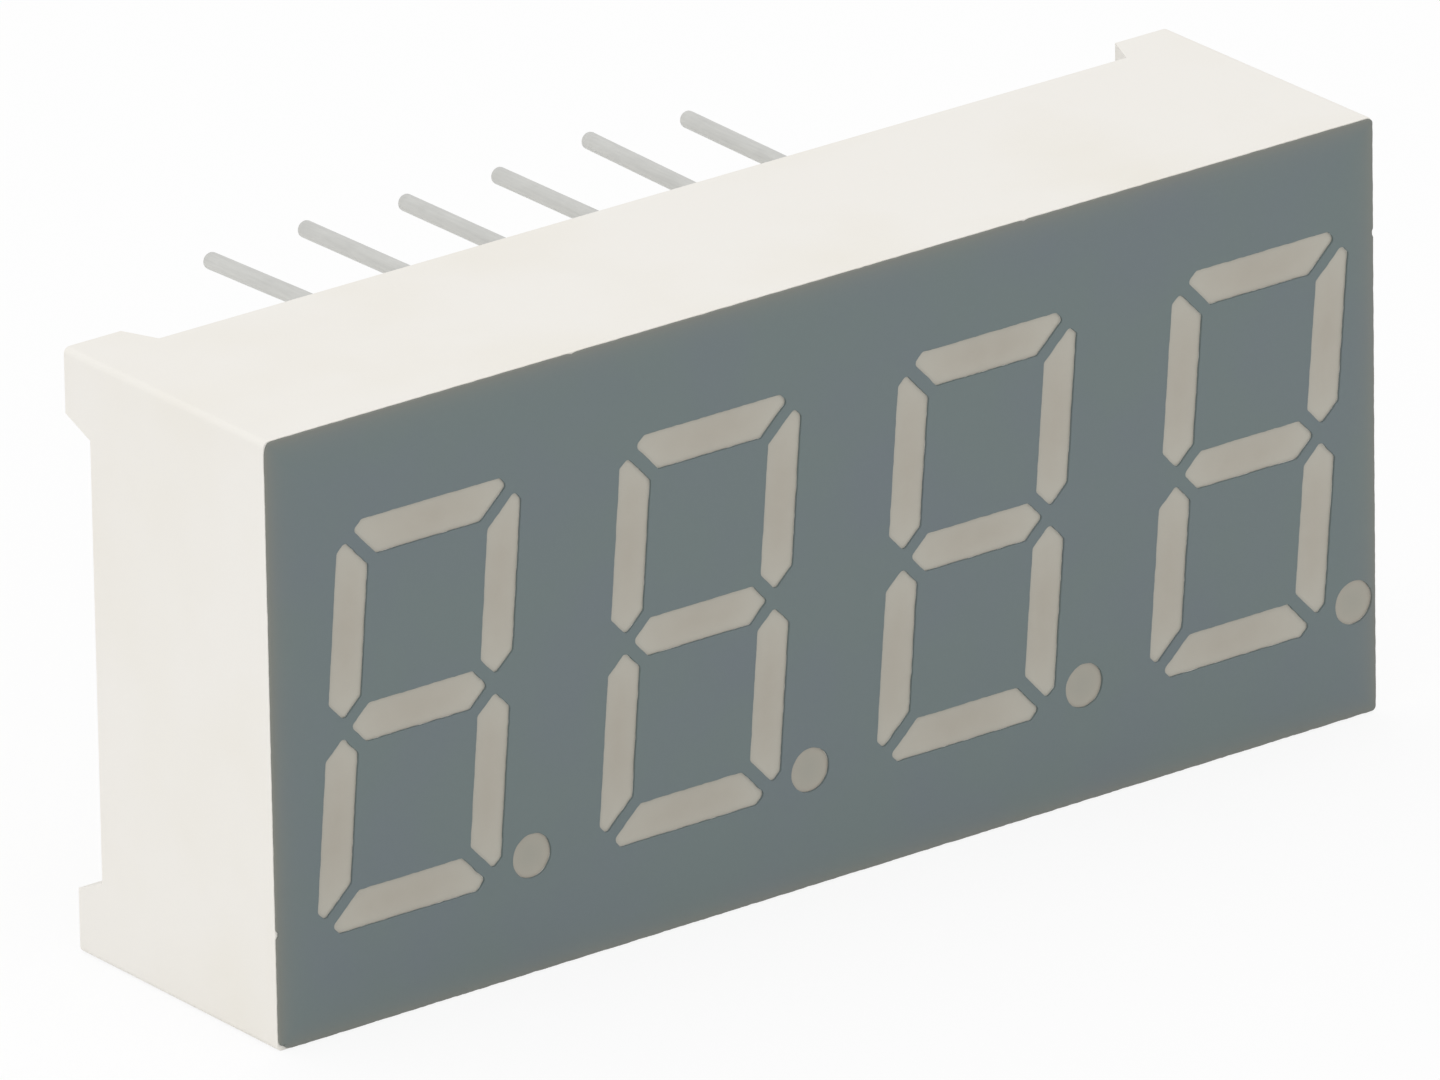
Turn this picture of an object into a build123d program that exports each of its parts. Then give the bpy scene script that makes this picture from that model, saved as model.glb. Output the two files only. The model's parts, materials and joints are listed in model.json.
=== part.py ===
from build123d import *
import math
import os

# Four-digit seven-segment display with twelve pins, in millimetres.
# X runs along the row of digits, Y from the lit face to the pins, Z up the digits.
# The origin is the centre of the pin field in the seating plane, which the four feet touch.

# overall sizes
overall_width = 30.1
overall_height = 14.0
overall_depth = 7.2        # printed face to the tips of the feet

# moulded housing
wall = 0.8                 # around the rear pocket
long_edge_radius = 0.15    # on the four edges that run from front to back
face_edge_radius = 0.03    # around the front of the moulding
foot_height = 0.9
foot_tip = 1.5             # side of a foot where it touches the board it is soldered to
foot_root = 1.88           # side of a foot where it grows out of the rim
foot_edge_radius = 0.03    # around the tip of a foot
well_depth = 4.1           # front of the moulding to the seat of the circuit board
well_floor_ratio = 0.62    # size of a light well at the circuit board, against its mouth

# digits
digit_count = 4
digit_pitch = 7.54
digit_shift = 0.2          # the row of digits stands this far right of the middle
digit_drop = 0.04          # and this far below it
digit_width = 4.92         # over the strokes, before the slant
digit_height = 9.33
digit_slant = 5.0          # degrees, tops lean right
stroke = 0.88
segment_gap = 0.28         # between two neighbouring segments
digit_corner_clip = 0.62   # cut off each outer corner of a digit, along both sides
segment_corner_radius = 0.11
point_diameter = 1.03
point_right = 2.9          # decimal point, right of the middle of its digit
point_lean = 0.6           # how far its well leans back towards the digit
point_floor_diameter = 0.9

# printed film on the front
film_thickness = 0.06

# circuit board and what stands on it
board_thickness = 0.8
board_clearance = 0.12
track_thickness = 0.035
die_pad_side = 0.32
wire_pad_side = 0.2
die_side = 0.26
die_height = 0.16
die_offset = 0.2           # middle of the well floor to the die
wire_pad_offset = 0.24     # middle of the well floor to the wire's pad, the other way
wire_diameter = 0.03
wire_rise = 0.12           # top of the wire's loop above the die
die_room = 0.42            # clear space over the board at the foot of each well

# pins
pin_rows = 10.16           # between the two rows
pin_pitch = 2.54
pins_in_row = 6
pin_diameter = 0.4
pin_length = 6.6           # beyond the seating plane
pin_tip_radius = 0.09
pin_grip_diameter = 0.56   # thicker part that the potting holds
pin_tail_diameter = 0.36   # through the circuit board
pin_hole_clearance = 0.04
solder_diameter = 0.72
solder_top_diameter = 0.4
solder_height = 0.2
solder_clearance = 0.08

# potting behind the circuit board
potting_below_rim = 0.05

# places along Y
face_y = -overall_depth
moulding_y = face_y + film_thickness
seat_y = moulding_y + well_depth
board_back_y = seat_y + board_thickness
rim_y = -foot_height
potting_y = rim_y - potting_below_rim
guide_back_y = seat_y - die_room

slant = math.tan(math.radians(digit_slant))
film_width = overall_width - 2 * face_edge_radius
film_height = overall_height - 2 * face_edge_radius
film_corner_radius = long_edge_radius - face_edge_radius


def upright(y):
    # plane across the display at y, with X to its right, Z up and its normal to the front
    return Plane.XZ.offset(-y)


def digit_middle(index):
    return ((index - (digit_count - 1) / 2) * digit_pitch + digit_shift, -digit_drop)


def corner_points(end, reach):
    # one outer corner of the digit, where two mitred strokes meet, as seen by the stroke that
    # runs along `end`; `reach` is the digit's half size the other way
    inner = end - stroke
    mitre = segment_gap / math.sqrt(2)
    start = reach - stroke - mitre
    clip_sum = end + reach - digit_corner_clip
    tip_along = (clip_sum - (inner - start)) / 2
    return [(start, inner), (tip_along, clip_sum - tip_along), (clip_sum - end, end)]


def segment_points(name):
    # outline of one segment before the slant, around the middle of its digit
    half_width, half_height = digit_width / 2, digit_height / 2
    mitre = segment_gap / math.sqrt(2)
    post = half_width - stroke / 2
    if name == "g":
        side = [(post - mitre - stroke / 2, stroke / 2), (post - mitre, 0),
                (post - mitre - stroke / 2, -stroke / 2)]
        return side + [(-x, -z) for x, z in side]
    if name in "ad":
        right = corner_points(half_height, half_width)
        flip = 1 if name == "a" else -1
        outline = right + [(-x, z) for x, z in reversed(right)]
        return [(x, flip * z) for x, z in outline]
    end = [(z, x) for x, z in corner_points(half_width, half_height)]
    foot = [(half_width, mitre + stroke / 2), (post, mitre), (half_width - stroke, mitre + stroke / 2)]
    side = -1 if name in "ef" else 1
    flip = -1 if name in "ce" else 1
    return [(side * z, flip * x) for z, x in end + foot]


def slanted(points, middle):
    return [(middle[0] + x + z * slant, middle[1] + z) for x, z in points]


def middle_of(points):
    xs, zs = [x for x, z in points], [z for x, z in points]
    return ((min(xs) + max(xs)) / 2, (min(zs) + max(zs)) / 2)


def well_ratio(y):
    # a well narrows evenly from 1 at its mouth to well_floor_ratio at the circuit board
    return 1 - (1 - well_floor_ratio) * (y - moulding_y) / well_depth


def segment_section(points, y):
    # section of a segment's well at y
    ratio = well_ratio(y)
    cx, cz = middle_of(points)
    with BuildSketch(upright(y)) as section:
        with BuildLine():
            Polyline([(cx + ratio * (x - cx), cz + ratio * (z - cz)) for x, z in points], close=True)
        make_face()
        fillet(section.vertices(), segment_corner_radius * ratio)
    return section.sketch


def point_section(middle, y):
    # section of a decimal point's leaning well at y
    share = (y - moulding_y) / well_depth
    diameter = point_diameter + (point_floor_diameter - point_diameter) * share
    with BuildSketch(upright(y)) as section:
        with Locations((middle[0] - point_lean * share, middle[1])):
            Circle(diameter / 2)
    return section.sketch


def point_middle(index):
    cx, cz = digit_middle(index)
    return (cx + point_right, cz - digit_height / 2 + stroke / 2)


# every window of the face: its name, its section function and what that is given
windows = []
for index in range(digit_count):
    for name in "abcdefg":
        outline = slanted(segment_points(name), digit_middle(index))
        windows.append((f"digit_{index + 1}_segment_{name}", segment_section, outline))
    windows.append((f"digit_{index + 1}_point", point_section, point_middle(index)))


def die_site(name, given):
    # middle of a well's floor, and the angle along which its die and wire lie
    if name.endswith("point"):
        return (given[0] - point_lean, given[1]), 0.0
    return middle_of(given), 90.0 - digit_slant if name[-1] in "bcef" else 0.0


die_sites = [die_site(name, given) for name, section, given in windows]

pin_places = [(column * pin_pitch, row * pin_rows / 2)
              for row, columns in ((-1, range(pins_in_row)), (1, reversed(range(pins_in_row))))
              for column in [c - (pins_in_row - 1) / 2 for c in columns]]


def pocket_section(y, clearance=0):
    # the rear pocket at y, a rectangle with a square post left in each corner under the foot
    post = foot_root + clearance
    width, height = overall_width - 2 * wall, overall_height - 2 * wall
    with BuildSketch(upright(y)) as outline:
        Rectangle(width - 2 * clearance, height - 2 * clearance)
        with GridLocations(overall_width - post, overall_height - post, 2, 2):
            Rectangle(post, post, mode=Mode.SUBTRACT)
    return outline.sketch


def make_housing():
    with BuildPart() as housing:
        with BuildSketch(upright(0)):
            RectangleRounded(overall_width, overall_height, long_edge_radius)
        extrude(amount=-moulding_y)
        # two channels across the back leave the four feet
        with BuildSketch(Plane.XY):
            with BuildLine():
                half = overall_width / 2
                Polyline((foot_root - half, rim_y), (half - foot_root, rim_y),
                         (half - foot_tip, 0), (foot_tip - half, 0), close=True)
            make_face()
        extrude(amount=overall_height, both=True, mode=Mode.SUBTRACT)
        with BuildSketch(Plane.YZ):
            with BuildLine():
                half = overall_height / 2
                Polyline((rim_y, foot_root - half), (rim_y, half - foot_root),
                         (0, half - foot_tip), (0, foot_tip - half), close=True)
            make_face()
        extrude(amount=overall_width, both=True, mode=Mode.SUBTRACT)
        front = housing.faces().sort_by(Axis.Y)[0]
        fillet(front.edges(), face_edge_radius)
        foot_tips = housing.faces().group_by(Axis.Y)[-1]
        fillet(foot_tips.edges(), foot_edge_radius)
        extrude(pocket_section(rim_y), amount=rim_y - seat_y, mode=Mode.SUBTRACT)
        # reliefs over the soldered tails of the pins
        with BuildSketch(upright(seat_y)):
            with Locations(pin_places):
                Circle(solder_diameter / 2 + solder_clearance)
        extrude(amount=solder_height + solder_clearance, mode=Mode.SUBTRACT)
        for name, section, given in windows:
            loft([section(given, moulding_y), section(given, seat_y)], ruled=True, mode=Mode.SUBTRACT)
    return housing.part


def make_film():
    with BuildPart() as film:
        with BuildSketch(upright(moulding_y)):
            RectangleRounded(film_width, film_height, film_corner_radius)
        extrude(amount=film_thickness)
        for name, section, given in windows:
            extrude(section(given, moulding_y), amount=film_thickness, mode=Mode.SUBTRACT)
    return film.part


def make_light_guide(section, given):
    with BuildPart() as guide:
        loft([section(given, moulding_y), section(given, guide_back_y)], ruled=True)
    return guide.part


def make_board():
    with BuildPart() as board:
        extrude(pocket_section(board_back_y, board_clearance), amount=board_thickness)
        with BuildSketch(upright(board_back_y)):
            with Locations(pin_places):
                Circle(pin_tail_diameter / 2 + pin_hole_clearance)
        extrude(amount=board_thickness, mode=Mode.SUBTRACT)
    return board.part


def at_site(site, along):
    # a place on a well's floor, `along` its die and wire line
    (x, z), angle = site
    turn = math.radians(angle)
    return (x + along * math.cos(turn), z + along * math.sin(turn))


def make_tracks():
    with BuildPart() as tracks:
        with BuildSketch(upright(seat_y)):
            for site in die_sites:
                with Locations(at_site(site, -die_offset)):
                    Rectangle(die_pad_side, die_pad_side, rotation=site[1])
                with Locations(at_site(site, wire_pad_offset)):
                    Rectangle(wire_pad_side, wire_pad_side, rotation=site[1])
        extrude(amount=track_thickness)
    return tracks.part


def make_dice():
    with BuildPart() as dice:
        with BuildSketch(upright(seat_y - track_thickness)):
            for site in die_sites:
                with Locations(at_site(site, -die_offset)):
                    Rectangle(die_side, die_side, rotation=site[1])
        extrude(amount=die_height)
    return dice.part


def make_wires():
    # each wire loops from the top of its die down to its own pad
    die_top = track_thickness + die_height
    with BuildPart() as wires:
        for site in die_sites:
            spots = [(-die_offset, die_top), (0, die_top + wire_rise), (wire_pad_offset, track_thickness)]
            path = [Vector(at_site(site, along)[0], seat_y - rise, at_site(site, along)[1])
                    for along, rise in spots]
            with BuildLine() as loop:
                ThreePointArc(*path)
            with BuildSketch(Plane(origin=loop.line @ 0, z_dir=loop.line % 0)):
                Circle(wire_diameter / 2)
            sweep()
    return wires.part


def make_solder():
    with BuildPart() as solder:
        for place in pin_places:
            with BuildSketch(upright(seat_y)):
                with Locations(place):
                    Circle(solder_diameter / 2)
            with BuildSketch(upright(seat_y - solder_height)):
                with Locations(place):
                    Circle(solder_top_diameter / 2)
            loft(ruled=True)
    return solder.part


def make_potting():
    with BuildPart() as potting:
        extrude(pocket_section(potting_y), amount=potting_y - board_back_y)
        with BuildSketch(upright(potting_y)):
            with Locations(pin_places):
                Circle(pin_grip_diameter / 2)
        extrude(amount=potting_y - board_back_y, mode=Mode.SUBTRACT)
    return potting.part


def make_pin(place):
    with BuildPart() as pin:
        for near_y, far_y, diameter in ((seat_y, board_back_y, pin_tail_diameter),
                                        (board_back_y, potting_y, pin_grip_diameter),
                                        (potting_y, pin_length, pin_diameter)):
            with BuildSketch(upright(far_y)):
                with Locations(place):
                    Circle(diameter / 2)
            extrude(amount=far_y - near_y)
        tip = pin.faces().sort_by(Axis.Y)[-1]
        fillet(tip.edges(), pin_tip_radius)
    return pin.part


def write(part, name):
    part.label = name
    export_step(part, f"parts/{name}.step")


os.makedirs("parts", exist_ok=True)
write(make_housing(), "housing")
write(make_film(), "face_film")
for name, section, given in windows:
    write(make_light_guide(section, given), name)
write(make_board(), "circuit_board")
write(make_tracks(), "copper_tracks")
write(make_dice(), "led_dice")
write(make_wires(), "bond_wires")
write(make_solder(), "solder_joints")
write(make_potting(), "potting_resin")
for number, place in enumerate(pin_places, 1):
    write(make_pin(place), f"pin_{number:02d}")
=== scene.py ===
import json
import math

import bmesh
import bpy
from mathutils import Matrix, Vector, noise
from mathutils.geometry import delaunay_2d_cdt


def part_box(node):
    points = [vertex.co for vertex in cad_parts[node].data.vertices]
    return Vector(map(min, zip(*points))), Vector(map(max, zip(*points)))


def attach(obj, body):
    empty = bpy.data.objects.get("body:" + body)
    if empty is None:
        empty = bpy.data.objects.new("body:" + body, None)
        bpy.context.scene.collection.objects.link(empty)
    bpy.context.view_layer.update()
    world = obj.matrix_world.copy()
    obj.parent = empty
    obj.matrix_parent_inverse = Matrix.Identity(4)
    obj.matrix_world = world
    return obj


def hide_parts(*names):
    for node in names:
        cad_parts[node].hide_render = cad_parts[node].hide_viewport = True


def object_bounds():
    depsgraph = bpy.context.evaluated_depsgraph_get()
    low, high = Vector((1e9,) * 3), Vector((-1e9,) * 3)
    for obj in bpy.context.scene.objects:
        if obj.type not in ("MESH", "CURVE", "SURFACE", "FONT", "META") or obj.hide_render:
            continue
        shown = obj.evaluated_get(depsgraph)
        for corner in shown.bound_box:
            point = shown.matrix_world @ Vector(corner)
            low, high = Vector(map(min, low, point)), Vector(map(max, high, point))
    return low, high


# Four-digit seven-segment display: white case, grey coat, milky segments, tinned pins.
# Shapes are worked out in millimetres and scaled once, when a mesh is made.

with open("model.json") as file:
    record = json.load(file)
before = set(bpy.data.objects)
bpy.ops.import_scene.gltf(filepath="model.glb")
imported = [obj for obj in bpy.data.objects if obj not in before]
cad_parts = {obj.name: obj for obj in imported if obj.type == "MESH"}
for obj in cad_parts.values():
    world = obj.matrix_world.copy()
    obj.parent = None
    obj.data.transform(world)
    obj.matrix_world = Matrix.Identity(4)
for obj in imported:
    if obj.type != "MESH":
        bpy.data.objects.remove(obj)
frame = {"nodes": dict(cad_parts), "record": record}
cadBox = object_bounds()
mm = 0.001
print("frame loaded:", len(frame["nodes"]), "nodes")


camera = {
    "target": (-0.185, -3.455, -0.188),   # mm
    "azimuth": 37.13,       # degrees, from the left of the face
    "elevation": 21.90,
    "roll": -0.972,
    "distance": 521.4,      # mm
    "lens": 601.4,          # mm, on a sensor this wide
    "sensor": 36.0,
}


def makeCamera():
    azimuth, elevation = math.radians(camera["azimuth"]), math.radians(camera["elevation"])
    ahead = Vector((math.sin(azimuth) * math.cos(elevation), math.cos(azimuth) * math.cos(elevation),
                    -math.sin(elevation)))
    data = bpy.data.cameras.new("camera")
    data.lens, data.sensor_width = camera["lens"], camera["sensor"]
    data.clip_start, data.clip_end = 0.01, 10
    made = bpy.data.objects.new("camera", data)
    roll = Matrix.Rotation(math.radians(camera["roll"]), 3, "Z")
    made.matrix_world = (ahead.to_track_quat("-Z", "Y").to_matrix() @ roll).to_4x4()
    made.location = (Vector(camera["target"]) - ahead * camera["distance"]) * mm
    bpy.context.collection.objects.link(made)
    bpy.context.scene.camera = made


makeCamera()
print("camera set")


def boxOf(node):
    low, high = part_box(node)
    return Vector(low) / mm, Vector(high) / mm


class Wire:
    # a shader socket that ordinary arithmetic works on

    def __init__(self, finish, socket):
        self.finish, self.socket = finish, socket

    def maths(self, operation, other=0.0, swap=False):
        inputs = {0: other, 1: self} if swap else {0: self, 1: other}
        return self.finish.node("ShaderNodeMath", {"operation": operation}, inputs)

    def __add__(self, other):
        return self.maths("ADD", other)

    def __sub__(self, other):
        return self.maths("SUBTRACT", other)

    def __rsub__(self, other):
        return self.maths("SUBTRACT", other, True)

    def __mul__(self, other):
        return self.maths("MULTIPLY", other)

    __radd__ = __add__
    __rmul__ = __mul__

    def clamp(self):
        return self.maths("MAXIMUM", 0.0).maths("MINIMUM", 1.0)

    def size(self):
        return self.maths("ABSOLUTE")

    def fade(self, reach):
        return (self * (-1 / reach)).maths("EXPONENT")


class Finish:
    # one material, its node tree and the few nodes that all finishes share

    def __init__(self, name):
        self.material = bpy.data.materials.new(name)
        self.material.use_nodes = True
        self.tree = self.material.node_tree
        self.tree.nodes.clear()

    def node(self, kind, settings=None, inputs=None, output=0):
        made = self.tree.nodes.new(kind)
        for key, value in (settings or {}).items():
            setattr(made, key, value)
        for key, value in (inputs or {}).items():
            if isinstance(value, Wire):
                self.tree.links.new(value.socket, made.inputs[key])
            else:
                made.inputs[key].default_value = value
        return Wire(self, made.outputs[output]) if len(made.outputs) else None

    def place(self):
        # object coordinates in millimetres
        raw = self.node("ShaderNodeTexCoord", output="Object")
        return self.node("ShaderNodeVectorMath", {"operation": "SCALE"}, {0: raw, "Scale": 1000.0})

    def noise(self, size, detail=2.0, stretch=(1, 1, 1)):
        # fractal noise whose blobs are about `size` millimetres, from 0 to 1
        place = self.node("ShaderNodeVectorMath", {"operation": "MULTIPLY"}, {0: self.place(), 1: stretch})
        return self.node("ShaderNodeTexNoise", {}, {"Vector": place, "Scale": 1.0 / size, "Detail": detail})

    def along(self, axis):
        # one object coordinate, in millimetres
        return self.node("ShaderNodeSeparateXYZ", {}, {0: self.place()}, axis)

    def attribute(self, name):
        return self.node("ShaderNodeAttribute", {"attribute_name": name}, output="Fac")

    def mix(self, factor, first, second):
        return self.node("ShaderNodeMix", {"data_type": "RGBA"}, {0: factor, 6: first, 7: second}, 2)

    def bump(self, height, depth):
        # depth in millimetres
        return self.node("ShaderNodeBump", {}, {"Height": height, "Distance": depth * mm, "Strength": 1.0})

    def surface(self, **sockets):
        inputs = {key.replace("_", " "): value for key, value in sockets.items()}
        shader = self.node("ShaderNodeBsdfPrincipled", {}, inputs)
        self.node("ShaderNodeOutputMaterial", {}, {"Surface": shader})
        return self.material


def shade(r, g, b):
    # an sRGB colour, 0 to 255, as the linear values that a socket takes
    def linear(c):
        c /= 255
        return c / 12.92 if c <= 0.04045 else ((c + 0.055) / 1.055) ** 2.4
    return (linear(r), linear(g), linear(b), 1.0)


whitePlastic = {
    "colour": shade(236, 233, 227),
    "warm": shade(233, 229, 220),
    "roughness": 0.62,
    "textureSize": 0.09,    # mm, spark-eroded mould skin
    "textureDepth": 0.0018,
    "flowSize": 5.0,        # mm, slow colour drift
    "flowFrom": 0.42,       # noise level at which the warm shade sets in
    "flowGain": 3,
    "sheen": 0.16,          # roughness that comes and goes with the skin
}


def makeWhitePlastic():
    p, f = whitePlastic, Finish("whitePlastic")
    drift = f.noise(p["flowSize"], 3.0)
    skin = f.noise(p["textureSize"], 4.0)
    colour = f.mix(((drift - p["flowFrom"]) * p["flowGain"]).clamp(), p["colour"], p["warm"])
    return f.surface(Base_Color=colour, Roughness=p["roughness"] + (skin - 0.5) * p["sheen"],
                     Normal=f.bump(skin, p["textureDepth"]), IOR=1.5)


greyCoatFinish = {
    "colour": shade(104, 116, 116),
    "cool": shade(104, 114, 118),
    "edge": shade(121, 122, 115),   # the coat thins towards its edges
    "edgeReach": 0.22,              # mm
    "edgeShare": 0.9,
    "cloudSize": 2.6,               # mm
    "cloudFrom": 0.4,               # noise level at which the cool shade sets in
    "cloudGain": 3,
    "roughness": 0.62,
    "peelSize": 0.12,               # mm
    "peelDepth": 0.0012,
    "sheen": 0.14,
}


def makeGreyCoat():
    p, f = greyCoatFinish, Finish("greyCoat")
    peel = f.noise(p["peelSize"], 3.0)
    cloud = f.noise(p["cloudSize"], 2.0)
    base = f.mix(((cloud - p["cloudFrom"]) * p["cloudGain"]).clamp(), p["colour"], p["cool"])
    high = boxOf("face_film")[1]
    inside = (high.x - f.along("X").size()).maths("MINIMUM", high.z - f.along("Z").size())
    colour = f.mix((inside.fade(p["edgeReach"]) * p["edgeShare"]).clamp(), base, p["edge"])
    return f.surface(Base_Color=colour, Roughness=p["roughness"] + (peel - 0.5) * p["sheen"],
                     Normal=f.bump(peel, p["peelDepth"]), IOR=1.45)


milkyResin = {
    "end": shade(180, 177, 166),
    "middle": shade(167, 161, 149),
    "point": shade(152, 150, 139),
    "cloudSize": 0.5,       # mm
    "rippleSize": 0.22,
    "rippleDepth": 0.0012,
    "roughness": 0.36,
    "sheen": 0.1,
}


def makeMilkyResin():
    p, f = milkyResin, Finish("milkyResin")
    # tone runs from 0 at the end of a segment to 1 in its middle, and to 2 in the middle of a point
    tone = f.attribute("tone")
    cloud = f.noise(p["cloudSize"], 3.0)
    bar = f.mix((tone * (0.75 + cloud * 0.5)).clamp(), p["end"], p["middle"])
    colour = f.mix((tone - 1.0).clamp(), bar, p["point"])
    return f.surface(Base_Color=colour, Roughness=p["roughness"] + (cloud - 0.5) * p["sheen"],
                     Normal=f.bump(f.noise(p["rippleSize"], 2.0), p["rippleDepth"]), IOR=1.54)


tinFinish = {
    "bright": shade(220, 220, 216),
    "dull": shade(192, 192, 189),
    "cut": shade(150, 149, 146),        # darker over the pin's end face and the rounding beside it
    "drawSize": 0.05,       # mm across the lines along which the wire was drawn
    "drawStretch": (1, 0.06, 1),
    "drawDepth": 0.003,
    "blotchSize": 0.6,
    "metallic": 0.5,
    "roughness": 0.42,
    "sheen": 0.2,
}


def makeTin():
    p, f = tinFinish, Finish("tinPlate")
    draw = f.noise(p["drawSize"], 3.0, p["drawStretch"])
    blotch = f.noise(p["blotchSize"], 2.0)
    plate = f.mix((draw * 0.6 + blotch * 0.5 - 0.05).clamp(), p["dull"], p["bright"])
    colour = f.mix(f.attribute("cut").clamp(), plate, p["cut"])
    return f.surface(Base_Color=colour, Metallic=p["metallic"],
                     Roughness=p["roughness"] + (blotch - 0.5) * p["sheen"],
                     Normal=f.bump(draw, p["drawDepth"]))


pottingFinish = {
    "colour": shade(218, 213, 197),
    "deep": shade(208, 202, 183),
    "cloudSize": 4.5,       # mm
    "speckSize": 0.16,
    "waveDepth": 0.012,
    "roughness": 0.24,
}


def makePotting():
    p, f = pottingFinish, Finish("pottingResin")
    cloud = f.noise(p["cloudSize"], 5.0)
    speck = f.noise(p["speckSize"], 2.0)
    colour = f.mix(((cloud - 0.3) * 1.8 + (speck - 0.5) * 0.4).clamp(), p["colour"], p["deep"])
    return f.surface(Base_Color=colour, Roughness=p["roughness"] + cloud * 0.12,
                     Normal=f.bump(cloud * 0.7 + speck * 0.3, p["waveDepth"]), IOR=1.54)


def makePlain(name, colour, second, size, roughness, metallic=0.0, depth=0.003):
    # a hidden piece's finish: two close shades in small blobs
    f = Finish(name)
    grain = f.noise(size, 3.0)
    return f.surface(Base_Color=f.mix(((grain - 0.35) * 2.5).clamp(), colour, second), Metallic=metallic,
                     Roughness=roughness + (grain - 0.5) * 0.2, Normal=f.bump(grain, depth))


materials = {
    "white_moulding": makeWhitePlastic(),
    "grey_film": makeGreyCoat(),
    "diffused_resin": makeMilkyResin(),
    "tinned_pin": makeTin(),
    "potting": makePotting(),
    "board_laminate": makePlain("laminate", shade(48, 96, 58), shade(64, 112, 70), 0.3, 0.4),
    "plated_track": makePlain("goldPlate", shade(214, 170, 92), shade(230, 190, 118), 0.08, 0.3, 0.9),
    "led_die": makePlain("ledDie", shade(120, 62, 52), shade(142, 80, 66), 0.05, 0.2),
    "gold_wire": makePlain("goldWire", shade(230, 190, 110), shade(244, 208, 134), 0.05, 0.25, 1.0),
    "solder": makePlain("solder", shade(178, 178, 174), shade(200, 200, 196), 0.1, 0.35, 0.85),
}
slotOf = {part["node"]: part["material_slot"] for part in frame["record"]["subparts"]}
for node, piece in frame["nodes"].items():
    piece.data.materials.clear()
    piece.data.materials.append(materials[slotOf[node]])
print("materials made:", len(materials))


def addPiece(name, mesh, slot, *replaced, smooth=True):
    mesh.name = name
    mesh.materials.clear()
    mesh.materials.append(materials[slot])
    made = bpy.data.objects.new(name, mesh)
    bpy.context.collection.objects.link(made)
    for face in mesh.polygons:
        face.use_smooth = smooth
    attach(made, "root")
    if replaced:
        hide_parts(*replaced)
    return made


weld = 0.0005               # mm, CAD points this near are one point
flatness = 0.002            # mm


def flatLoops(node, level):
    # outlines, as (x, z) lists, of a CAD node's flat face that lies at y = level
    cut = bmesh.new()
    cut.from_mesh(frame["nodes"][node].data)
    bmesh.ops.remove_doubles(cut, verts=cut.verts, dist=weld * mm)
    on = [f for f in cut.faces if all(abs(v.co.y / mm - level) < flatness for v in f.verts)]
    rim = {}
    for face in on:
        for loop in face.loops:
            if sum(other in on for other in loop.edge.link_faces) == 1:
                rim[loop.vert.index] = loop.link_loop_next.vert.index
    cut.verts.ensure_lookup_table()
    loops = []
    while rim:
        start, at = next(iter(rim.items()))
        del rim[start]
        chain = [start]
        while at != start:
            chain.append(at)
            at = rim.pop(at)
        loops.append([(cut.verts[i].co.x / mm, cut.verts[i].co.z / mm) for i in chain])
    cut.free()
    return loops


def evenly(loop, step):
    # the same closed outline with a point about every `step` mm, its corners kept
    points = []
    for (x0, z0), (x1, z1) in zip(loop, loop[1:] + loop[:1]):
        parts = max(1, round(math.hypot(x1 - x0, z1 - z0) / step))
        points += [(x0 + (x1 - x0) * k / parts, z0 + (z1 - z0) * k / parts) for k in range(parts)]
    return points


def normals(loop):
    # unit vectors that point to the right of an outline's direction
    made = []
    for i, (x, z) in enumerate(loop):
        (xa, za), (xb, zb) = loop[i - 1], loop[(i + 1) % len(loop)]
        dx, dz = xb - xa, zb - za
        size = math.hypot(dx, dz) or 1
        made.append((dz / size, -dx / size))
    return made


def areaOf(loop):
    return sum(x0 * z1 - x1 * z0 for (x0, z0), (x1, z1) in zip(loop, loop[1:] + loop[:1])) / 2


def moved(loop, amounts):
    # each point shifted outwards from the outline's inside by its own amount
    way = 1 if areaOf(loop) > 0 else -1
    return [(x + way * nx * a, z + way * nz * a)
            for (x, z), (nx, nz), a in zip(loop, normals(loop), amounts)]


def isInside(x, z, loop):
    within = False
    for (x0, z0), (x1, z1) in zip(loop, loop[1:] + loop[:1]):
        if (z0 > z) != (z1 > z) and x < (x1 - x0) * (z - z0) / (z1 - z0) + x0:
            within = not within
    return within


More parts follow.
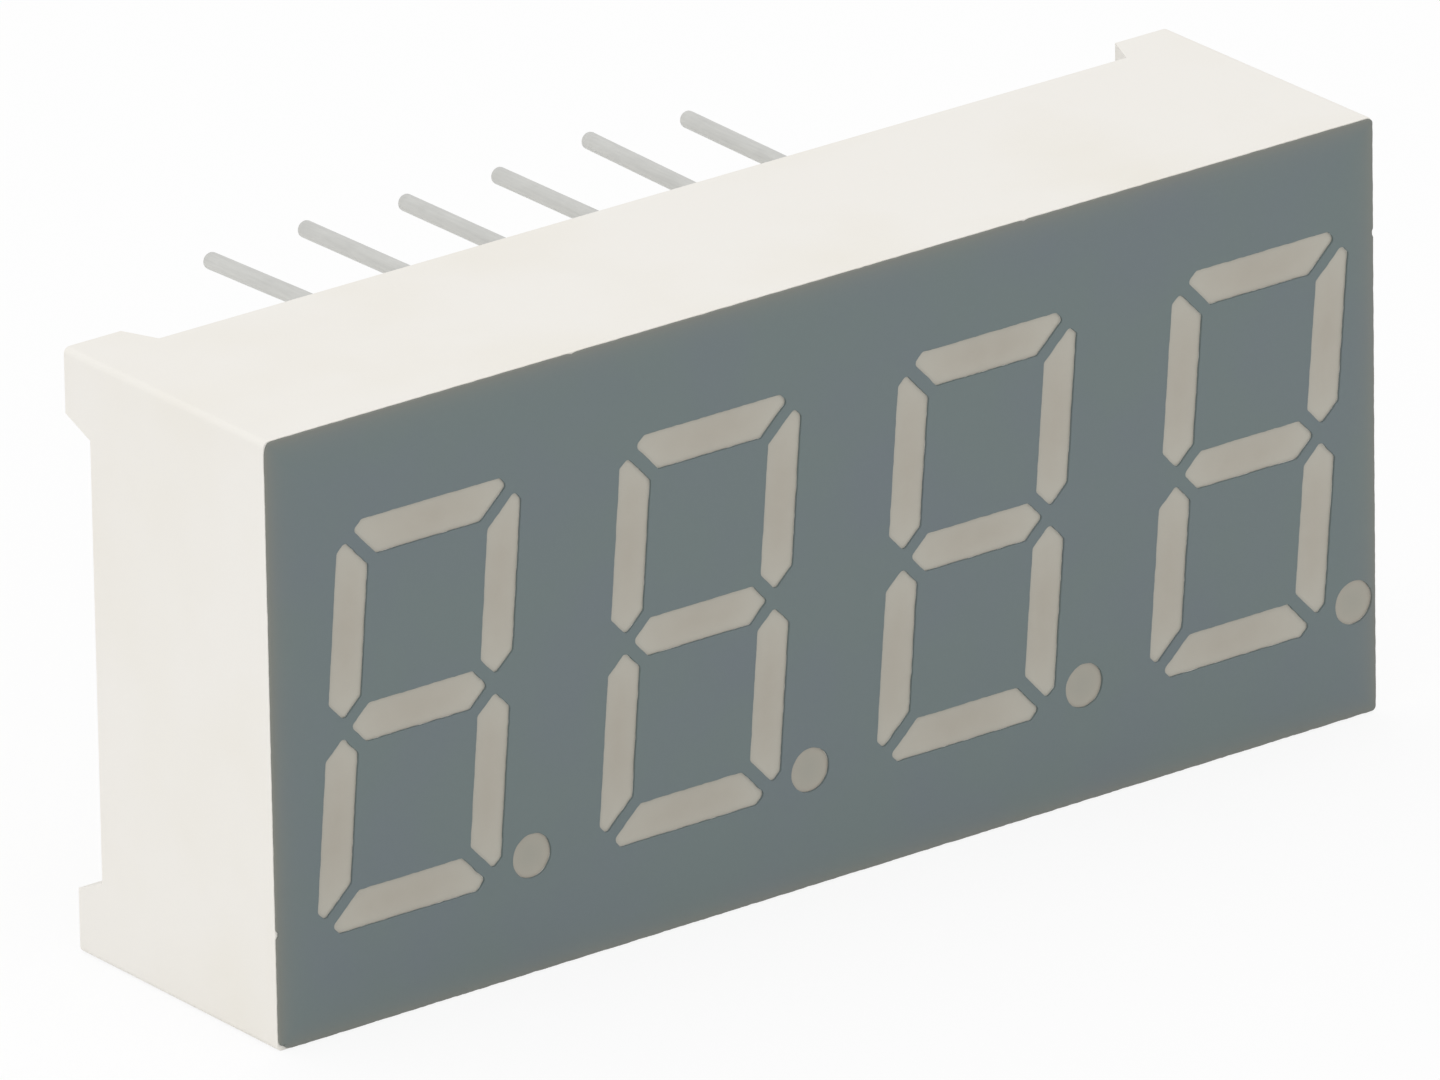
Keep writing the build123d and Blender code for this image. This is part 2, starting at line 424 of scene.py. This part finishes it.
def slab(name, loops, bottom, inner=(), attribute=None, under=None):
    # closed plate: loops and inner hold (x, z, y of the top, attribute value), first loop the outer one;
    # under gives the place below a point, where the sides aren't square
    points, edges = [], []
    for loop in loops:
        first = len(points)
        points += loop
        edges += [(first + k, first + (k + 1) % len(loop)) for k in range(len(loop))]
    points += list(inner)
    flat = [Vector((p[0], p[1])) for p in points]
    found, _, faces, origin, _, _ = delaunay_2d_cdt(flat, edges, [], 1, 1e-6)
    holes = [[(p[0], p[1]) for p in loop] for loop in loops[1:]]
    spans = [(min(x for x, z in h), max(x for x, z in h), min(z for x, z in h), max(z for x, z in h))
             for h in holes]

    def isFilled(face):
        x, z = (sum(found[i][k] for i in face) / 3 for k in (0, 1))
        return not any(x0 < x < x1 and z0 < z < z1 and isInside(x, z, hole)
                       for hole, (x0, x1, z0, z1) in zip(holes, spans))

    faces = [face for face in faces if isFilled(face)]
    made = bmesh.new()
    layer = made.verts.layers.float.new(attribute) if attribute else None
    top, base = [], []
    for co, source in zip(found, origin):
        x, z, y, value = points[source[0]] if source else (co.x, co.y, bottom, 0)
        below = under(co.x, co.y) if under else (co.x, co.y)
        for group, (vx, vz), level in ((top, co, y), (base, below, bottom)):
            vert = made.verts.new((vx * mm, level * mm, vz * mm))
            if layer:
                vert[layer] = value
            group.append(vert)
    sides = {}
    for face in faces:
        made.faces.new([top[i] for i in face])
        made.faces.new([base[i] for i in reversed(face)])
        for i, j in zip(face, face[1:] + face[:1]):
            if (j, i) in sides:
                del sides[(j, i)]
            else:
                sides[(i, j)] = True
    for i, j in sides:
        made.faces.new([top[j], top[i], base[i], base[j]])
    bmesh.ops.delete(made, geom=[v for v in made.verts if not v.link_faces], context="VERTS")
    bmesh.ops.recalc_face_normals(made, faces=made.faces)
    mesh = bpy.data.meshes.new(name)
    made.to_mesh(mesh)
    made.free()
    return mesh


coat = {
    "step": 0.07,           # mm between points of an edge
    "waver": 0.010,         # how far an edge wanders
    "ragged": 0.016,        # the same, on edges that face down
    "waverSize": 0.35,
    "quickSize": 0.4,       # a second, finer waver, as a share of the first one's size
    "quickShare": 0.7,      # and of its depth
    "downFacing": -0.5,     # an edge faces down where its normal's z is below this
    "stickOut": 0.004,      # mm that the outer edge may stray outwards
    "roll": 0.012,          # rounding of the edge
    "rollDepth": 0.7,       # its depth, as a share of its width
    "nicks": [              # x, z, radius and depth of small losses along the outer edge, mm
        (-15.0, -4.3, 0.06, 0.09),
        (-15.0, -7.0, 0.13, 0.17),
        (-15.0, 6.9, 0.12, 0.05),
        (15.0, 4.3, 0.06, 0.05),
        (-6.85, 7.0, 0.07, 0.04),
        (5.4, 7.0, 0.06, 0.04),
    ],
}


def wander(x, z, down):
    # how far an edge point strays, in mm
    slow = noise.noise(Vector((x, z, 3.1)) / coat["waverSize"])
    quick = noise.noise(Vector((x, z, 8.4)) / (coat["waverSize"] * coat["quickSize"]))
    return coat["waver"] * slow + (coat["ragged"] if down else coat["waver"]) * coat["quickShare"] * quick


def nickDepth(x, z):
    deepest = 0
    for nx, nz, radius, depth in coat["nicks"]:
        away = math.hypot(x - nx, z - nz) / radius
        deepest = max(deepest, depth * math.exp(-away * away))
    return deepest


def makeCoat():
    low, high = boxOf("face_film")
    loops = sorted(flatLoops("face_film", low.y), key=lambda loop: -abs(areaOf(loop)))
    edges, rings = [], []
    for number, loop in enumerate(loops):
        dense = evenly(loop, coat["step"])
        outer = number == 0
        facing = normals(dense)
        way = 1 if areaOf(dense) > 0 else -1
        # the coat lies inside the first outline and outside the others
        side = way if outer else -way
        stray = [wander(x, z, side * nz < coat["downFacing"]) for (x, z), (nx, nz) in zip(dense, facing)]
        if outer:
            stray = [min(s - nickDepth(x, z), coat["stickOut"]) for s, (x, z) in zip(stray, dense)]
        edge = moved(dense, stray)
        roll = -coat["roll"] if outer else coat["roll"]
        edges.append([(x, z, low.y + coat["roll"] * coat["rollDepth"], 0) for x, z in edge])
        rings += [(x, z, low.y, 0) for x, z in moved(edge, [roll] * len(edge))]
    mesh = slab("greyCoat", edges, high.y, rings)
    addPiece("greyCoat", mesh, "grey_film", "face_film", smooth=False)


makeCoat()
print("coat made")


dish = {
    "drop": 0.015,          # mm that the middle lies below the rim, as cast resin shrinks
    "reach": 0.2,           # mm from the rim over which it drops
    "step": 0.08,           # mm between points of the rim
    "inset": 0.04,          # mm from the rim to the first ring of points inside it
    "grid": 0.10,           # mm between the other points
    "clear": 0.09,          # mm that they keep from the rim
    "endTone": 0.25,        # tone left at the end of a segment
    "sharp": 40,            # degrees, sharper edges aren't smoothed
}


def spanOf(loop):
    xs, zs = [x for x, z in loop], [z for x, z in loop]
    return min(xs), max(xs), min(zs), max(zs)


def makeLightGuide(node):
    low, high = boxOf(node)
    outline = evenly(flatLoops(node, low.y)[0], dish["step"])
    x0, x1, z0, z1 = spanOf(outline)
    bx0, bx1, bz0, bz1 = spanOf(flatLoops(node, high.y)[0])
    ratio = (bx1 - bx0) / (x1 - x0)
    midX, midZ = (x0 + x1) / 2, (z0 + z1) / 2
    halfLength = math.hypot(x1 - x0, z1 - z0) / 2
    isPoint = node.endswith("point")

    def under(x, z):
        return ((bx0 + bx1) / 2 + (x - midX) * ratio, (bz0 + bz1) / 2 + (z - midZ) * ratio)

    def point(x, z, away):
        share = 1 - math.exp(-away / dish["reach"])
        out = math.hypot(x - midX, z - midZ) / halfLength
        tone = 1 + share if isPoint else (0.5 + 0.5 * share) * (1 - (1 - dish["endTone"]) * out ** 2)
        return (x, z, low.y + dish["drop"] * share, tone)

    inner = [point(x, z, dish["inset"]) for x, z in moved(outline, [-dish["inset"]] * len(outline))]
    for i in range(1, int((x1 - x0) / dish["grid"]) + 1):
        for j in range(1, int((z1 - z0) / dish["grid"]) + 1):
            x, z = x0 + (i - 0.5 * (j % 2)) * dish["grid"], z0 + j * dish["grid"]
            away = min(math.hypot(x - ox, z - oz) for ox, oz in outline)
            if away > dish["clear"] and isInside(x, z, outline):
                inner.append(point(x, z, away))
    mesh = slab(node, [[point(x, z, 0) for x, z in outline]], high.y, inner, "tone", under)
    addPiece("resin_" + node, mesh, "diffused_resin", node)
    mesh.set_sharp_from_angle(angle=math.radians(dish["sharp"]))


guides = [node for node, slot in slotOf.items() if slot == "diffused_resin"]
for node in guides:
    makeLightGuide(node)
print("light guides made:", len(guides))


pinShape = {
    "sides": 28,
    "leg": 0.2,             # mm, radius beyond the potting
    "tail": 0.18,           # radius through the circuit board
    "tip": 0.09,            # rounding
    "tipTurns": (22, 45, 68, 90),   # degrees round that rounding, one ring of points at each
    "sharp": 50,
    "stations": 26,
    "wobble": 0.012,        # unevenness of the wire, as a share of its radius
    "wobbleStretch": 1.3,
    "lean": {               # degrees sideways and up, as the real pins stray
        "pin_12": (-2.2, -0.4), "pin_11": (-1.2, -0.1), "pin_10": (0.4, -0.6),
        "pin_09": (-0.3, -0.1), "pin_08": (0.5, 0.8), "pin_07": (-0.4, 1.0),
        "pin_01": (0.7, -0.4), "pin_02": (-0.5, 0.3), "pin_03": (0.2, 0.5),
        "pin_04": (-0.6, -0.5), "pin_05": (0.9, 0.1), "pin_06": (-0.3, 0.6),
    },
    "short": {              # mm that a pin falls short of the longest
        "pin_12": 0.33, "pin_11": 0.19, "pin_10": 0.17, "pin_09": 0.30, "pin_08": 0.10, "pin_07": 0.49,
        "pin_01": 0.10, "pin_03": 0.22, "pin_04": 0.05, "pin_06": 0.14,
    },
}


def makePin(node):
    low, high = boxOf(node)
    middle = (low + high) / 2
    grip = (high.x - low.x) / 2
    root = boxOf("potting_resin")[1].y
    back = boxOf("circuit_board")[1].y
    leg, tail = pinShape["leg"], pinShape["tail"]
    end = high.y - pinShape["short"].get(node, 0)
    side, rise = (math.tan(math.radians(a)) for a in pinShape["lean"][node])
    tip = pinShape["tip"]
    profile = [(low.y, tail), (back, tail), (back, grip), (root, grip), (root, leg)]
    count = pinShape["stations"]
    profile += [(root + (end - tip - root) * k / count, leg) for k in range(1, count + 1)]
    profile += [(end - tip + tip * math.sin(a), leg - tip + tip * math.cos(a))
                for a in (math.radians(d) for d in pinShape["tipTurns"])]
    made = bmesh.new()
    cut = made.verts.layers.float.new("cut")
    rings = []
    for y, radius in profile:
        out = max(0, y - root)
        cx, cz = middle.x + side * out, middle.z + rise * out
        ring = []
        for k in range(pinShape["sides"]):
            angle = 2 * math.pi * k / pinShape["sides"]
            dx, dz = math.cos(angle), math.sin(angle)
            spot = Vector((dx + middle.x, y * pinShape["wobbleStretch"], dz + middle.z))
            wobble = 1 + pinShape["wobble"] * noise.noise(spot)
            ring.append(made.verts.new(((cx + dx * radius * wobble) * mm, y * mm,
                                        (cz + dz * radius * wobble) * mm)))
        rings.append(ring)
    for near, far in zip(rings, rings[1:]):
        for k in range(pinShape["sides"]):
            j = (k + 1) % pinShape["sides"]
            made.faces.new([near[k], near[j], far[j], far[k]])
    made.faces.new(rings[0])
    made.faces.new(reversed(rings[-1]))
    for vert in rings[-1]:
        vert[cut] = 1
    bmesh.ops.recalc_face_normals(made, faces=made.faces)
    mesh = bpy.data.meshes.new(node)
    made.to_mesh(mesh)
    made.free()
    addPiece("tinned_" + node, mesh, "tinned_pin", node)
    mesh.set_sharp_from_angle(angle=math.radians(pinShape["sharp"]))


pins = sorted(node for node in frame["nodes"] if node.startswith("pin_"))
for node in pins:
    makePin(node)
print("pins made:", len(pins))


pour = {
    "wallClimb": 0.035,     # mm that the resin creeps up the case
    "pinClimb": 0.16,       # and up each pin
    "reach": 0.22,          # mm over which it falls again
    "sag": 0.05,            # the middle of the pour lies lower
    "sagReach": 1.6,
    "ripple": 0.008,
    "rippleSize": 2.0,
    "step": 0.25,           # mm between points of the outline
    "sharp": 50,
    "pinRings": (0.26, 0.34, 0.46, 0.62, 0.85),     # mm from a pin's axis, rings of points
    "ringPoints": 24,
    "wallRings": (0.06, 0.14, 0.27, 0.5),           # mm from the case
    "grid": 0.55,           # mm between the other points
    "clear": 0.85,          # mm that they keep from the case and the pins
}


def pourLevel(x, z, base, wallDistance, pinDistance):
    y = base - pour["sag"] * (1 - math.exp(-wallDistance / pour["sagReach"]))
    y += pour["wallClimb"] * math.exp(-wallDistance / pour["reach"])
    y += pour["pinClimb"] * math.exp(-pinDistance / pour["reach"])
    return y + pour["ripple"] * noise.noise(Vector((x / pour["rippleSize"], z / pour["rippleSize"], 1.7)))


def makePour():
    low, high = boxOf("potting_resin")
    loops = sorted(flatLoops("potting_resin", high.y), key=lambda loop: -abs(areaOf(loop)))
    outline = evenly(loops[0], pour["step"])
    leg = pinShape["leg"]
    centres = [((boxOf(n)[0].x + boxOf(n)[1].x) / 2, (boxOf(n)[0].z + boxOf(n)[1].z) / 2) for n in pins]
    turns = [2 * math.pi * k / pour["ringPoints"] for k in range(pour["ringPoints"])]

    def toPins(x, z):
        return max(0, min(math.hypot(x - cx, z - cz) for cx, cz in centres) - leg)

    def toWall(x, z):
        return min(math.hypot(x - wx, z - wz) for wx, wz in outline)

    def point(x, z, wall):
        return (x, z, pourLevel(x, z, high.y, wall, toPins(x, z)), 0.0)

    def ring(cx, cz, radius):
        places = [(cx + radius * math.cos(turn), cz + radius * math.sin(turn)) for turn in turns]
        return [point(x, z, toWall(x, z)) for x, z in places]

    edges = [[point(x, z, 0) for x, z in outline]] + [ring(cx, cz, leg) for cx, cz in centres]
    inner = [p for cx, cz in centres for radius in pour["pinRings"] for p in ring(cx, cz, radius)]
    for inset in pour["wallRings"]:
        inner += [point(x, z, inset) for x, z in moved(outline, [-inset] * len(outline))]
    columns, rows = (int((b - a) / pour["grid"]) for a, b in ((low.x, high.x), (low.z, high.z)))
    for i in range(1, columns):
        for j in range(1, rows):
            x, z = low.x + i * pour["grid"], low.z + j * pour["grid"]
            wall = toWall(x, z)
            if min(wall, toPins(x, z)) > pour["clear"]:
                inner.append(point(x, z, wall))
    mesh = slab("pottingResin", edges, low.y, inner)
    addPiece("pottingResin", mesh, "potting", "potting_resin")
    mesh.set_sharp_from_angle(angle=math.radians(pour["sharp"]))


makePour()
print("potting made")


studio = {
    "floorSize": 6.0,       # m
    "floor": shade(244, 244, 244),
    "floorGlow": 0.85,      # share of plain white that the camera and reflections see in the floor
    "world": (1.0, 1.0, 1.0, 1.0),
    "worldStrength": 0.86,
}
lamps = {
    "overhead": {"at": (-0.10, -0.05, 0.55), "size": 0.5, "power": 0.55},
    "left": {"at": (-0.55, -0.15, 0.15), "size": 0.45, "power": 0.42},
    "front": {"at": (0.15, -0.60, 0.12), "size": 0.45, "power": 0.3},
}


def makeFloor():
    bottom = cadBox[0].z
    half = studio["floorSize"] / 2
    corners = [(x * half, y * half, bottom) for x, y in ((-1, -1), (1, -1), (1, 1), (-1, 1))]
    mesh = bpy.data.meshes.new("floor")
    mesh.from_pydata(corners, [], [(0, 1, 2, 3)])
    floor = bpy.data.objects.new("floor", mesh)
    bpy.context.collection.objects.link(floor)
    f = Finish("floor")
    seen = f.node("ShaderNodeLightPath", output="Is Camera Ray")
    shiny = f.node("ShaderNodeLightPath", output="Is Glossy Ray")
    matt = f.node("ShaderNodeBsdfDiffuse", {}, {"Color": studio["floor"]})
    white = f.node("ShaderNodeEmission", {}, {"Color": (1, 1, 1, 1), "Strength": 1.0})
    glow = ((seen + shiny) * studio["floorGlow"]).clamp()
    mixed = f.node("ShaderNodeMixShader", {}, {0: glow, 1: matt, 2: white})
    f.node("ShaderNodeOutputMaterial", {}, {"Surface": mixed})
    mesh.materials.append(f.material)


def makeLights():
    world = bpy.data.worlds.new("studio")
    bpy.context.scene.world = world
    world.use_nodes = True
    back = world.node_tree.nodes["Background"]
    back.inputs["Color"].default_value = studio["world"]
    back.inputs["Strength"].default_value = studio["worldStrength"]
    aim = (cadBox[0] + cadBox[1]) / 2
    for name, lamp in lamps.items():
        data = bpy.data.lights.new(name, "AREA")
        data.shape, data.size, data.energy = "SQUARE", lamp["size"], lamp["power"]
        made = bpy.data.objects.new(name, data)
        made.location = lamp["at"]
        made.rotation_mode = "QUATERNION"
        made.rotation_quaternion = (aim - Vector(lamp["at"])).to_track_quat("-Z", "Y")
        bpy.context.collection.objects.link(made)


makeFloor()
makeLights()
bpy.context.scene.view_settings.view_transform = "Standard"
print("floor and light made")
